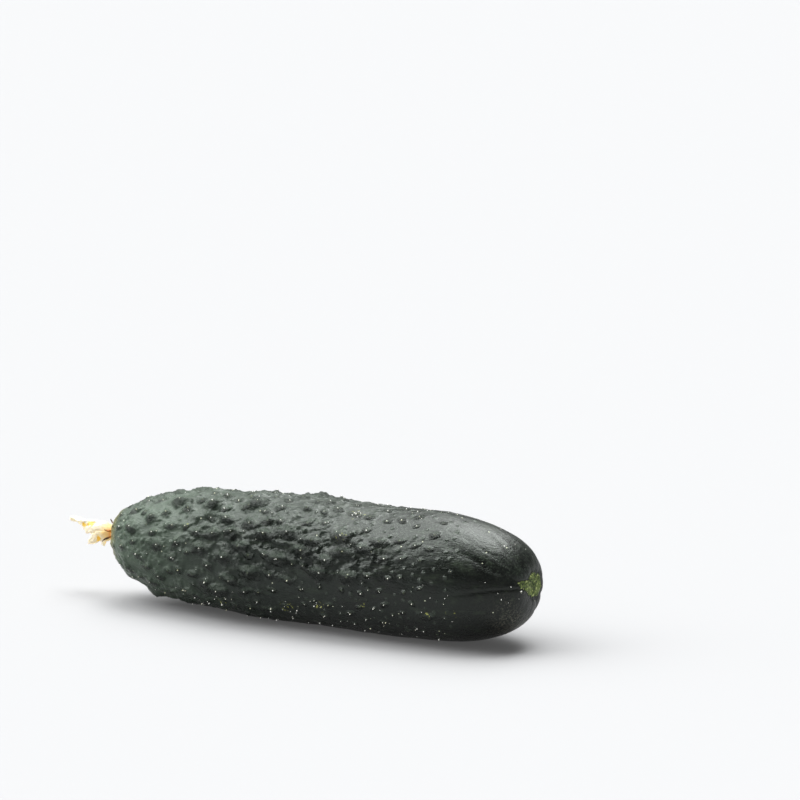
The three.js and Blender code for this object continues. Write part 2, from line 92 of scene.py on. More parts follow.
# %% [markdown]
# ## Helpers for modelling
#
# Operators act on whatever is selected, so each step first deselects all. A
# finished mesh is handed its points as one array, which is quick even for a
# skin of a hundred thousand points.

# %% Helpers for modelling
CRUMPLE_SEED = 1  # without it each run would crumple the flower another way


def deselect_all():
    bpy.ops.object.select_all(action="DESELECT")


def select_only(piece):
    deselect_all()
    piece.select_set(True)
    bpy.context.view_layer.objects.active = piece


def get_points(piece, kind="co"):
    """The points of a piece, or the normals at them."""
    flat = np.empty(len(piece.data.vertices) * 3)
    piece.data.vertices.foreach_get(kind, flat)
    return flat.reshape(-1, 3)


def set_points(piece, points):
    piece.data.vertices.foreach_set("co", np.asarray(points, dtype=np.float64).ravel())
    piece.data.update()


def crumple(piece, size, height):
    """Shift a piece's points by noise of a size and a height in millimetres."""
    noise.seed_set(CRUMPLE_SEED)
    points = get_points(piece)
    shifts = np.array([noise.noise_vector(Vector(point) / size) for point in points])
    set_points(piece, points + height * shifts)


def new_piece(name, points, faces):
    mesh = bpy.data.meshes.new(name)
    mesh.from_pydata([tuple(point) for point in points], [], faces)
    piece = bpy.data.objects.new(name, mesh)
    bpy.context.collection.objects.link(piece)
    return piece


def join_to(piece, parts):
    select_only(piece)
    for part in parts:
        part.select_set(True)
    bpy.ops.object.join()


def store_value(piece, name, values):
    layer = piece.data.attributes.new(name=name, type="FLOAT", domain="POINT")
    layer.data.foreach_set("value", np.asarray(values, dtype=np.float32))


def apply_modifier(piece, kind, name, **settings):
    select_only(piece)
    modifier = piece.modifiers.new(name, kind)
    for key, value in settings.items():
        setattr(modifier, key, value)
    bpy.ops.object.modifier_apply(modifier=modifier.name)


def finish_piece(piece, recipe, slot, *nodes):
    select_only(piece)
    bpy.ops.object.shade_smooth()
    piece.data.materials.append(recipe.material)
    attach(piece, "root")
    if nodes:
        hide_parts(*nodes)
    print(piece.name, "has", len(piece.data.polygons), "faces")


# %% [markdown]
# ## The fruit's form
#
# The fruit is a blunt spindle: one formula gives its radius at each station
# along it. Its relief is raised from that surface along the normal: a slow
# unevenness, furrows at both ends, a hollow at each pole and the warts.
# All sizes here are in millimetres, and the formulas are those of the solid, so
# the finer skin lies on it.

# %% Sizes of the fruit, in millimetres
FRUIT_LENGTH = 176.0
FRUIT_RADIUS = 23.0
BLOSSOM_TAPER = 80.0
STALK_TAPER = 42.0
BELLY_FLAT = 0.6
AXIS_HEIGHT = FRUIT_RADIUS - BELLY_FLAT
BLOSSOM_RISE = 1.5
BLOSSOM_RISE_LENGTH = 16.0
AXIS_ASIDE = 0.26  # the middle line lies this far from the box's middle
BLOSSOM_X = flower_seat_x / MM  # station zero, where the calyx sits

SEED_CHAMBERS = 3
CHAMBER_SWELL = 0.25
CHAMBER_PHASE = 0.5
SWAY = 0.22
SWAY_LENGTH = 46.0
SWAY_TWIST = 1.7
SWAY_PHASE = 0.6

# Each furrow has its turn at the fruit's end and a drift in degrees for each
# millimetre away from it, then its depth, its width and its reach.
STALK_FURROWS = [
    (158, -0.85, 0.34, 2.6, 40), (143, -0.9, 0.08, 1.3, 34), (128, -1.6, 0.34, 2.1, 20),
    (100, -0.4, 0.16, 2.8, 18), (171.5, 0.5, 0.2, 1.0, 34), (222, 0.2, 0.06, 1.8, 26),
    (262, 0.0, 0.08, 2.0, 24), (300, 0.0, 0.3, 2.4, 34), (335, 0.2, 0.34, 2.6, 38),
    (10, -0.2, 0.12, 2.2, 30), (44, -0.2, 0.1, 2.4, 34), (72, 0.1, 0.06, 2.0, 26),
]
BLOSSOM_FURROWS = [
    (35, 0.1, 0.35, 2.4, 44), (95, -0.1, 0.25, 2.6, 38), (172, 0.1, 0.3, 2.6, 40),
    (208, -0.1, 0.5, 2.2, 58), (236, 0.1, 0.6, 2.4, 62), (300, 0.0, 0.4, 2.6, 46),
    (344, 0.1, 0.35, 2.2, 40),
]
FURROW_TIP = 0.45
FURROW_FADE = 0.35
FURROW_RADII = (2.5, 7.0)  # none at the pole, full depth further out

SCAR_DEPTH = 1.1
SCAR_RADIUS = 6.0
DIMPLE_DEPTH = 0.8
DIMPLE_RADIUS = 3.2

# %% The plain body


def ramp(value, start, end):
    share = np.clip((value - start) / (end - start), 0.0, 1.0)
    return share * share * (3 - 2 * share)


def bell(distance, reach):
    return np.exp(-((distance / reach) ** 2))


def turn_between(turn, other):
    """The shorter way round from one turn to another, in radians."""
    return np.arctan2(np.sin(turn - other), np.cos(turn - other))


def body_radius(station):
    from_blossom = np.minimum(station / BLOSSOM_TAPER, 1.0)
    from_stalk = np.minimum((FRUIT_LENGTH - station) / STALK_TAPER, 1.0)
    fill = (1 - (1 - from_blossom) ** 2) * (1 - (1 - from_stalk) ** 2)
    return FRUIT_RADIUS * np.cbrt(np.maximum(fill, 0.0))


def body_point(station, turn):
    """Places on the plain body, with the outward normals there."""
    station = np.asarray(station, dtype=float)
    step = 0.01
    before = np.maximum(station - step, 0.0)
    after = np.minimum(station + step, FRUIT_LENGTH)
    slope = (body_radius(after) - body_radius(before)) / (after - before)
    scale = 1 / np.hypot(slope, 1.0)
    radius = body_radius(station)
    side, lift = np.cos(turn), np.sin(turn)
    place = np.stack([station, radius * side, radius * lift], axis=-1)
    normal = np.stack([-slope * scale, scale * side, scale * lift], axis=-1)
    return place, normal, radius


print("radius at the middle:", round(float(body_radius(FRUIT_LENGTH / 2)), 2), "mm")

# %% [markdown]
# ## The warts
#
# Warts are thrown at the skin one by one from a seeded draw, and one that falls
# too near another is dropped, which spaces them as evenly and as irregularly as
# on the real skin. The largest have places of their own.

# %% Throw the warts
WART_SEED = 20
WART_ATTEMPTS = 4200
WART_SPACING = 4.5
WART_SPACING_SPREAD = 2.4
WART_HEIGHT = 0.38
WART_HEIGHT_SPREAD = 1.4
WART_WIDTH = 1.3
WART_WIDTH_SPREAD = 1.4
WART_STRETCH = 1.2
WART_STRETCH_SPREAD = 1.1
WART_LEAST_WIDTH = 0.45
WART_LEAN = math.radians(35)
WART_FREE_POLE = 7.5
WARTS_END = 146.0
WARTS_FADE = 66.0
WARTS_LEAST = 0.15
WARTS_RISE = 24.0
WARTS_RISE_LEAST = 0.45
# The belly has no warts and the low side towards the stalk has low ones. Each
# sets in between two values of how far down the skin faces, and two stations.
BELLY_SIDE = (0.84, 0.97)
BELLY_ALONG = (25.0, 50.0)
CALM_SIDE = (-0.3, 0.35)
CALM_ALONG = (50.0, 105.0)
CALM_SHARE = 0.8

# Station, turn in degrees, height, length and width.
LARGE_WARTS = [
    (9, 246, 1.2, 5.0, 4.0), (21, 84, 1.1, 4.6, 2.8), (22, 250, 1.7, 5.0, 3.2),
    (25, 137, 1.3, 3.2, 2.2), (35, 117, 1.8, 4.2, 2.3), (36, 82, 1.0, 5.2, 2.8),
    (38, 250, 0.9, 5.0, 3.0), (69, 115, 1.5, 4.0, 2.4), (70, 139, 1.4, 3.6, 2.2),
    (87, 144, 1.8, 5.2, 2.7), (109, 142, 1.8, 4.6, 2.6), (51, 121, 1.4, 3.4, 2.2),
    (66, 120, 1.3, 3.4, 2.4), (64, 149, 1.3, 4.2, 2.2), (68, 161, 1.1, 4.6, 2.4),
    (73, 183, 1.4, 4.4, 2.8), (62, 172, 1.0, 3.6, 2.4), (78, 148, 1.3, 4.4, 2.2),
    (85, 168, 1.3, 4.8, 2.6), (94, 158, 1.5, 4.6, 2.4), (98, 149, 1.3, 3.4, 2.0),
    (103, 175, 1.5, 5.4, 2.8), (105, 164, 1.3, 3.8, 2.4), (111, 155, 1.4, 4.4, 2.4),
    (114, 176, 1.1, 3.6, 2.4), (118, 150, 1.4, 3.4, 2.0), (124, 142, 1.1, 3.0, 1.8),
    (51, 167, 0.9, 4.0, 2.4), (30, 169, 0.8, 3.6, 2.4),
]


def make_draw(seed):
    state = seed
    while True:
        state = (state * 1664525 + 1013904223) % 4294967296
        yield state / 4294967296


def make_wart(station, turn, height, length, width, lean):
    centre, normal, _ = body_point(station, turn)
    around = np.array([0.0, -math.sin(turn), math.cos(turn)])
    spin = Matrix.Rotation(lean, 3, Vector(normal))
    along = np.array(spin @ Vector(np.cross(around, normal)))
    return {
        "station": station, "turn": turn, "centre": centre,
        "along": along, "across": np.cross(along, normal),
        "height": height, "length": length, "width": width,
    }


def wart_share(station, turn):
    """The share of its full height that a wart reaches at a place."""
    fade = 1 - ramp(station, WARTS_END - WARTS_FADE, WARTS_END)
    rise = ramp(station, 0, WARTS_RISE)
    calm = ramp(station, *CALM_ALONG) * ramp(-np.sin(turn), *CALM_SIDE)
    towards_stalk = WARTS_LEAST + (1 - WARTS_LEAST) * fade
    towards_flower = WARTS_RISE_LEAST + (1 - WARTS_RISE_LEAST) * rise
    return towards_stalk * towards_flower * (1 - CALM_SHARE * calm)


def grow_warts():
    warts = [
        make_wart(station, math.radians(turn), height, length, width, 0.0)
        for station, turn, height, length, width in LARGE_WARTS
    ]
    draw = make_draw(WART_SEED)
    for _ in range(WART_ATTEMPTS):
        station = next(draw) * WARTS_END
        turn = next(draw) * 2 * math.pi
        size = next(draw) ** 3
        stretch = next(draw)
        lean = (2 * next(draw) - 1) * WART_LEAN
        centre = body_point(station, turn)[0]
        gaps = np.linalg.norm([wart["centre"] - centre for wart in warts], axis=1)
        heights = np.array([wart["height"] for wart in warts])
        needed = WART_SPACING + WART_SPACING_SPREAD * size + 0.5 * heights
        if (gaps < needed).any() or body_radius(station) < WART_FREE_POLE:
            continue
        full = wart_share(station, turn)
        height = (WART_HEIGHT + WART_HEIGHT_SPREAD * size) * full
        width = WART_WIDTH + WART_WIDTH_SPREAD * size
        width *= WART_LEAST_WIDTH + (1 - WART_LEAST_WIDTH) * full
        length = width * (WART_STRETCH + WART_STRETCH_SPREAD * stretch)
        warts.append(make_wart(station, turn, height, length, width, lean))
    return warts


warts = grow_warts()
print(len(warts), "warts")

# %% [markdown]
# ## Relief of the skin
#
# The warts, furrows and hollows come from the solid's formulas. The fine skin
# adds what the solid is too coarse for: warts that aren't quite round, a small
# nub on top of each, and pimples, folds, crags and wrinkles between them. The
# seed given to a noise only picks another pattern.

# %% Relief shared with the solid


def swell(station, turn, radius):
    chambers = CHAMBER_SWELL * np.cos(SEED_CHAMBERS * turn + CHAMBER_PHASE)
    phase = station / SWAY_LENGTH * 2 * math.pi
    sway = SWAY * np.sin(phase + SWAY_TWIST * np.sin(turn + SWAY_PHASE))
    return (chambers + sway) * (radius / FRUIT_RADIUS) ** 2


def furrow_depth(from_end, turn, radius, furrows, sharp=1.0):
    """Depth of a set of furrows; a low sharp gives only their narrow beds."""
    depth = np.zeros(len(turn))
    for at_end, drift, deep, wide, reach in furrows:
        apart = turn_between(turn, np.radians(at_end + drift * from_end))
        share = np.minimum(from_end / reach, 1.0)
        width = wide * sharp * (FURROW_TIP + (1 - FURROW_TIP) * share)
        depth += deep * bell(apart * radius, width) * (1 - ramp(share, FURROW_FADE, 1))
    return depth * ramp(radius, *FURROW_RADII)


def hollow_depth(station, radius):
    stalk_half = station > FRUIT_LENGTH / 2
    return np.where(stalk_half, SCAR_DEPTH * bell(radius, SCAR_RADIUS),
                    DIMPLE_DEPTH * bell(radius, DIMPLE_RADIUS))


def belly_clear(station, turn):
    """1 where warts stand free, falling to 0 where the fruit lies on its belly."""
    return 1 - ramp(-np.sin(turn), *BELLY_SIDE) * ramp(station, *BELLY_ALONG)


# %% Relief that only the fine skin has
MOUND_SIZE = 10.0
MOUND_HEIGHT = 0.36
LUMP_SIZE = 4.2
LUMP_HEIGHT = 0.19
WRINKLE_SIZE = 1.9
WRINKLE_DEPTH = 0.13
FOLD_SIZE = 5.5
FOLD_HEIGHT = 1.1
FOLD_PATCH_SIZE = 13.0
FOLDS_RISE = (-25.0, 60.0)  # they lie lower near the flower
CRUSTY_STATION = 85.0
CRUSTY_LENGTH = 36.0
CRUSTY_TURN = math.radians(158)
CRUSTY_SPREAD = math.radians(30)
CRUSTY_GAIN = 0.8
WART_RAGGED = 0.4
WART_RAGGED_FINE = 0.2
CRAG_SIZE = 1.6
CRAG_HEIGHT = 0.7
CRUST_HEIGHT = 0.3
GENTLE_SIDE = (0.6, 0.85)
GENTLE_BELOW = 0.8  # how much smoother the warts are underneath
LEATHER_FADE = 35.0
LEATHER_LOSS = 0.8
BED_DEPTH = 0.15  # of the furrows' narrow beds, in shares of the furrows
BED_WIDTH = 0.25
SKIRT_WIDTH = 1.15  # a wart is a wide skirt with a narrow crown on it
SKIRT_SHARE = 0.5
CROWN_WIDTH = 0.72
CROWN_SHARE = 0.55
WART_REACH = 3.2  # in lengths of the wart
PIMPLE_REACH = 2.5  # in radii of the pimple
WART_EDGE = 1.1
NUB_HEIGHT = 0.16
NUB_RADIUS = 0.6
PIMPLE_SEED = 5
PIMPLE_ATTEMPTS = 2600
PIMPLE_SPACING = 2.7
PIMPLE_FREE_POLE = 5.5
PIMPLES_END = 154.0
PIMPLE_HEIGHT = 0.1
PIMPLE_HEIGHT_SPREAD = 0.5
PIMPLE_RADIUS = 0.75
PIMPLE_RADIUS_SPREAD = 0.5
LOW_SIDE = 0.7  # how sharply a wart's low side parts from its high side


def noise_at(points, size, seed):
    """Smooth noise, about -1 to 1, at points in millimetres."""
    shift = Vector((seed, seed * 1.7, seed * 0.6))
    return np.array([noise.noise(Vector(point) / size + shift) for point in points])


def ridges_at(points, size, seed, sharpness):
    """Noise folded into ridges, up to 1."""
    return (1 - np.abs(noise_at(points, size, seed))) ** sharpness


def grow_pimples():
    """Small pimples between the warts; each is a place, a radius and a height."""
    draw = make_draw(PIMPLE_SEED)
    taken = np.array([wart["centre"] for wart in warts])
    pimples = []
    for _ in range(PIMPLE_ATTEMPTS):
        station = next(draw) * PIMPLES_END
        turn = next(draw) * 2 * math.pi
        size = next(draw) ** 2
        centre, _, radius = body_point(station, turn)
        gap = np.linalg.norm(taken - centre, axis=1).min()
        if gap < PIMPLE_SPACING or radius < PIMPLE_FREE_POLE:
            continue
        taken = np.vstack([taken, centre])
        pimples.append({
            "station": station, "turn": turn, "centre": centre,
            "radius": PIMPLE_RADIUS + PIMPLE_RADIUS_SPREAD * size,
            "height": (PIMPLE_HEIGHT + PIMPLE_HEIGHT_SPREAD * size) * wart_share(station, turn),
        })
    return pimples


pimples = grow_pimples()
print(len(pimples), "pimples")

# %% Raise the warts and the pimples


def wart_relief(place, ragged):
    """Height of the warts, and how near each point is to one, its tip and its low side."""
    relief, near, tip, painted_shade_below = np.zeros((4, len(place)))
    for wart in warts:
        offset = place - wart["centre"]
        close = np.abs(offset).max(axis=1) < WART_REACH * wart["length"]
        along = offset[close] @ wart["along"] / wart["length"]
        across = offset[close] @ wart["across"] / wart["width"]
        distance = np.hypot(along, across) * (1 + ragged[close])
        skirt = bell(distance, SKIRT_WIDTH)
        crown = np.exp(-((distance / CROWN_WIDTH) ** 3))
        relief[close] += wart["height"] * (SKIRT_SHARE * skirt + CROWN_SHARE * crown)
        nub = bell(np.linalg.norm(offset[close], axis=1), NUB_RADIUS)
        relief[close] += NUB_HEIGHT * min(wart["height"], 1.0) * nub
        on_it = bell(distance, WART_EDGE)
        near[close] = np.maximum(near[close], on_it)
        # the low side of each wart, which the finish darkens as painted shade
        downhill = 0.5 - LOW_SIDE * offset[close][:, 2] / wart["width"]
        painted_shade_below[close] = np.maximum(painted_shade_below[close], on_it * np.clip(downhill, 0, 1))
        tip[close] = np.maximum(tip[close], nub)
    for pimple in pimples:
        offset = place - pimple["centre"]
        close = np.abs(offset).max(axis=1) < PIMPLE_REACH * pimple["radius"]
        hill = bell(np.linalg.norm(offset[close], axis=1), pimple["radius"])
        relief[close] += pimple["height"] * hill
        near[close] = np.maximum(near[close], 0.5 * hill)
    return relief, near, tip, painted_shade_below


# %% [markdown]
# ## The stalk scar
#
# Where the stalk was cut, the furrows meet in a hollow and leave a pale, fibrous
# star. It is part of the fruit, so it is roughened in the same skin, and a value
# kept on the points tells the material where it lies.

# %% Shape the stalk scar
SCAR_CORE = 4.3
# Turn, reach beyond the core and half width in degrees of each arm of the star.
SCAR_ARMS = [(161, 5.4, 17), (95, 1.2, 32), (5, 3.2, 50), (262, -0.9, 40)]
SCAR_RIM = 0.35
SCAR_ROUGH = 0.2


def scar_share(place, station, turn, radius):
    """1 on the scar and 0 off it, with a ragged edge."""
    edge = SCAR_CORE + 0.6 * noise_at(place, 1.8, 5.0) + 0.5 * noise_at(place, 0.8, 2.0)
    for arm_turn, reach, half_width in SCAR_ARMS:
        apart = turn_between(turn, math.radians(arm_turn))
        edge = edge + reach * bell(apart, math.radians(half_width))
    share = 1 - ramp(radius, edge - 0.6, edge + 0.4)
    # the crease round the scar, which the finish darkens as painted shade
    rim = bell(radius - edge - 0.2, 0.6)
    at_stalk = station > FRUIT_LENGTH / 2
    return at_stalk * share, at_stalk * rim


# %% Grow the skin at any station and turn


def grow_skin(station, turn):
    """Skin points in model space, in millimetres, with values for the finish."""
    place, normal, radius = body_point(station, turn)
    leathery = 1 - LEATHER_LOSS * ramp(station, WARTS_END - LEATHER_FADE, WARTS_END)
    grown = wart_share(station, turn)
    clear = belly_clear(station, turn)
    from_stalk = FRUIT_LENGTH - station
    gentle = 1 - GENTLE_BELOW * ramp(-np.sin(turn), *GENTLE_SIDE)
    ragged = WART_RAGGED * noise_at(place, 2.6, 3.1)
    ragged = gentle * (ragged + WART_RAGGED_FINE * noise_at(place, 1.1, 6.4))
    hills, near, tip, painted_shade_below = wart_relief(place, ragged)
    crags = ridges_at(place, CRAG_SIZE, 4.4, 2) - 0.6
    drawn_out = place * [0.6, 1, 1]
    folds = ridges_at(drawn_out, FOLD_SIZE, 8.3, 4) - 0.3
    folds += 0.4 * ridges_at(drawn_out, FOLD_SIZE / 2, 1.9, 4) - 0.1
    crusty = bell(station - CRUSTY_STATION, CRUSTY_LENGTH)
    crusty = crusty * bell(turn - CRUSTY_TURN, CRUSTY_SPREAD)
    patch = ramp(noise_at(place, FOLD_PATCH_SIZE, 6.1), -0.35, 0.3) + CRUSTY_GAIN * crusty
    folds *= patch * ramp(station, *FOLDS_RISE)
    crust = np.minimum(patch * grown, 1.0)
    wrinkles = ridges_at(place * [0.55, 1, 1], WRINKLE_SIZE, 1.3, 4)
    scar, scar_rim = scar_share(place, station, turn, radius)
    fibres = noise_at(place, 0.8, 9.0) + 0.6 * noise_at(place, 0.45, 4.0)
    relief = (
        swell(station, turn, radius)
        - furrow_depth(from_stalk, turn, radius, STALK_FURROWS)
        - furrow_depth(station, turn, radius, BLOSSOM_FURROWS)
        - BED_DEPTH * furrow_depth(from_stalk, turn, radius, STALK_FURROWS, BED_WIDTH)
        - hollow_depth(station, radius)
        + clear * hills
        + CRAG_HEIGHT * gentle * clear * np.sqrt(grown) * near * crags
        + FOLD_HEIGHT * clear * leathery * grown * folds
        + CRUST_HEIGHT * clear * crust * crags
        + clear * MOUND_HEIGHT * leathery * noise_at(place, MOUND_SIZE, 2.2)
        + LUMP_HEIGHT * leathery * noise_at(place, LUMP_SIZE, 7.7)
        - WRINKLE_DEPTH * leathery * wrinkles
        - SCAR_RIM * scar_rim
        + SCAR_ROUGH * scar * fibres
    )
    points = place + normal * relief[:, None]
    lift = BLOSSOM_RISE * np.maximum(1 - station / BLOSSOM_RISE_LENGTH, 0) ** 2
    points[:, 2] = np.maximum(points[:, 2] + lift + AXIS_HEIGHT, 0.0)
    points += [BLOSSOM_X, AXIS_ASIDE, 0.0]
    values = {
        "wart": near * clear, "tip": tip * clear, "scar": scar, "scar_rim": scar_rim,
        "painted_shade_below": painted_shade_below * clear, "crust": crust * clear,
        "station": station / FRUIT_LENGTH, "lift": np.sin(turn),
        "speckled": speckled(station, turn, radius), "blemished": blemished(place),
    }
    return points, normal, values


# %% [markdown]
# ## Marks on the skin
#
# A real skin is marked here and there: fine pale stippling near the scar, and
# yellow-green flecks beside a few warts. Where they lie is a value on the points,
# and the material breaks it up into specks.

# %% Place the marks
# Station, turn and radius in millimetres of each flecked patch.
FLECKED = [
    (43, 146, 1.2), (86, 216, 3.0), (109, 141, 2.2), (110, 114, 3.2), (144, 206, 1.8),
    (153, 202, 2.2), (62, 98, 2.0), (101, 210, 2.4), (57, 221, 2.6),
    (118, 201, 2.0), (30, 300, 2.2), (74, 30, 2.6), (95, 340, 2.2), (122, 60, 2.4),
    (48, 10, 2.0), (133, 320, 2.4), (80, 285, 2.2),
]
SPECKLED_TURN = math.radians(288)
SPECKLED_RADIUS = 13.5
SPECKLED_WIDTH = 4.5


def blemished(place):
    share = np.zeros(len(place))
    for station, turn, reach in FLECKED:
        centre = body_point(station, math.radians(turn))[0]
        share = np.maximum(share, bell(np.linalg.norm(place - centre, axis=1), reach))
    return share


def speckled(station, turn, radius):
    """Pale stippling round the scar, densest on one side."""
    around = 0.45 + 0.55 * np.cos(turn - SPECKLED_TURN)
    ring = bell(radius - SPECKLED_RADIUS, SPECKLED_WIDTH)
    return np.where(station > FRUIT_LENGTH / 2, ring * np.maximum(around, 0.08), 0.0)


# %% [markdown]
# ## The skin
#
# The skin starts as a sphere of many rings. Each ring is sent to its station and
# each point along its own radius, so the sphere's poles become the fruit's two
# ends and the mesh stays closed. Rings stand closer where the skin is warty.

# %% Send the sphere's rings to their stations
SKIN_SIDES = 276
SKIN_RINGS = 352
WARTY_PITCH = 0.5
SMOOTH_PITCH = 0.8
PITCH_FADE = 10.0
OUTLINE_STEPS = 6000


def ring_stations(rings):
    angle = np.linspace(0, math.pi, OUTLINE_STEPS + 1)
    station = FRUIT_LENGTH / 2 * (1 - np.cos(angle))
    radius = body_radius(station)
    smooth = ramp(station, WARTS_END - PITCH_FADE, WARTS_END)
    pitch = WARTY_PITCH + (SMOOTH_PITCH - WARTY_PITCH) * smooth
    steps = np.hypot(np.diff(station), np.diff(radius)) / pitch[1:]
    passed = np.concatenate([[0.0], np.cumsum(steps)])
    return np.interp(np.linspace(0, passed[-1], rings + 1), passed, station)


deselect_all()
bpy.ops.mesh.primitive_uv_sphere_add(segments=SKIN_SIDES, ring_count=SKIN_RINGS, radius=1.0)
skin = bpy.context.object
skin.name = "cucumber_skin"
sphere = get_points(skin)
share = 1 - np.arccos(np.clip(sphere[:, 2], -1, 1)) / math.pi
station = np.interp(share, np.linspace(0, 1, SKIN_RINGS + 1), ring_stations(SKIN_RINGS))
turn = np.arctan2(sphere[:, 1], sphere[:, 0])
points, _, values = grow_skin(station, turn)
set_points(skin, points * MM)
for name, value in values.items():
    store_value(skin, name, value)
print("skin box:", points.min(axis=0).round(1), points.max(axis=0).round(1))

# %% [markdown]
# ## Helpers for materials
#
# A material is a small network of nodes. These helpers add a node, link it and
# hand back its output, so that each recipe below reads from top to bottom.

# %% Helpers for materials


class Network:
    """A tree of nodes that is built from top to bottom."""

    def __init__(self, tree):
        self.tree = tree

    def feed(self, socket, entry):
        if isinstance(entry, bpy.types.NodeSocket):
            self.tree.links.new(entry, socket)
        elif entry is not None:
            socket.default_value = entry

    def fill(self, node, **entries):
        """Feed a node's sockets, with _ for the spaces in their names."""
        for name, entry in entries.items():
            self.feed(node.inputs[name.replace("_", " ")], entry)
        return node

    def node(self, kind, **entries):
        return self.fill(self.tree.nodes.new("ShaderNode" + kind), **entries)

    def math(self, operation, first, *others):
        """Combine values one after another."""
        for other in others:
            node = self.node("Math")
            node.operation = operation
            self.feed(node.inputs[0], first)
            self.feed(node.inputs[1], other)
            first = node.outputs["Value"]
        return first

    def span(self, value, low, high, to_low=0.0, to_high=1.0):
        """Turn a range of values softly into another range."""
        node = self.node("MapRange", Value=value, From_Min=low, From_Max=high,
                         To_Min=to_low, To_Max=to_high)
        node.interpolation_type = "SMOOTHSTEP"
        return node.outputs["Result"]


class Recipe(Network):
    """A material's network."""

    def __init__(self, name):
        self.material = bpy.data.materials.new(name)
        self.material.use_nodes = True
        super().__init__(self.material.node_tree)
        self.shader = self.tree.nodes["Principled BSDF"]
        self.place = self.node("TexCoord").outputs["Object"]

    def value(self, name):
        node = self.node("Attribute")
        node.attribute_name = name
        return node.outputs["Fac"]

    def noise(self, scale, detail=3.0, rough=0.6, along=None):
        """Noise; an along below 1 draws it out along the fruit."""
        place = self.place
        if along:
            place = self.node("Mapping", Vector=place, Scale=(along, 1, 1)).outputs["Vector"]
        node = self.node("TexNoise", Vector=place, Scale=scale, Detail=detail, Roughness=rough)
        return node.outputs["Fac"]

    def cells(self, scale):
        node = self.node("TexVoronoi", Vector=self.place, Scale=scale)
        return node.outputs["Distance"], node.outputs["Color"]

    def mix(self, factor, first, second):
        node = self.node("Mix", Factor=factor)
        node.data_type = "RGBA"  # its two colours are sockets 6 and 7
        self.feed(node.inputs[6], colour(first))
        self.feed(node.inputs[7], colour(second))
        return node.outputs[2]

    def layered(self, base, *layers):
        """Lay colours over a base, each by its share."""
        for share, tone in layers:
            base = self.mix(share, base, tone)
        return base

    def bumps(self, *layers):
        """Roughen the surface by heights, each with its depth in metres."""
        normal = None
        for height, depth in layers:
            node = self.node("Bump", Strength=1.0, Distance=depth, Height=height, Normal=normal)
            normal = node.outputs["Normal"]
        self.set(Normal=normal)

    def set(self, **entries):
        self.fill(self.shader, **entries)


def colour(entry):
    """A tuple of three screen values from 0 to 255 becomes a linear colour."""
    if not isinstance(entry, tuple):
        return entry
    linear = []
    for channel in entry:
        value = channel / 255
        linear.append(value / 12.92 if value <= 0.04045 else ((value + 0.055) / 1.055) ** 2.4)
    return (*linear, 1.0)
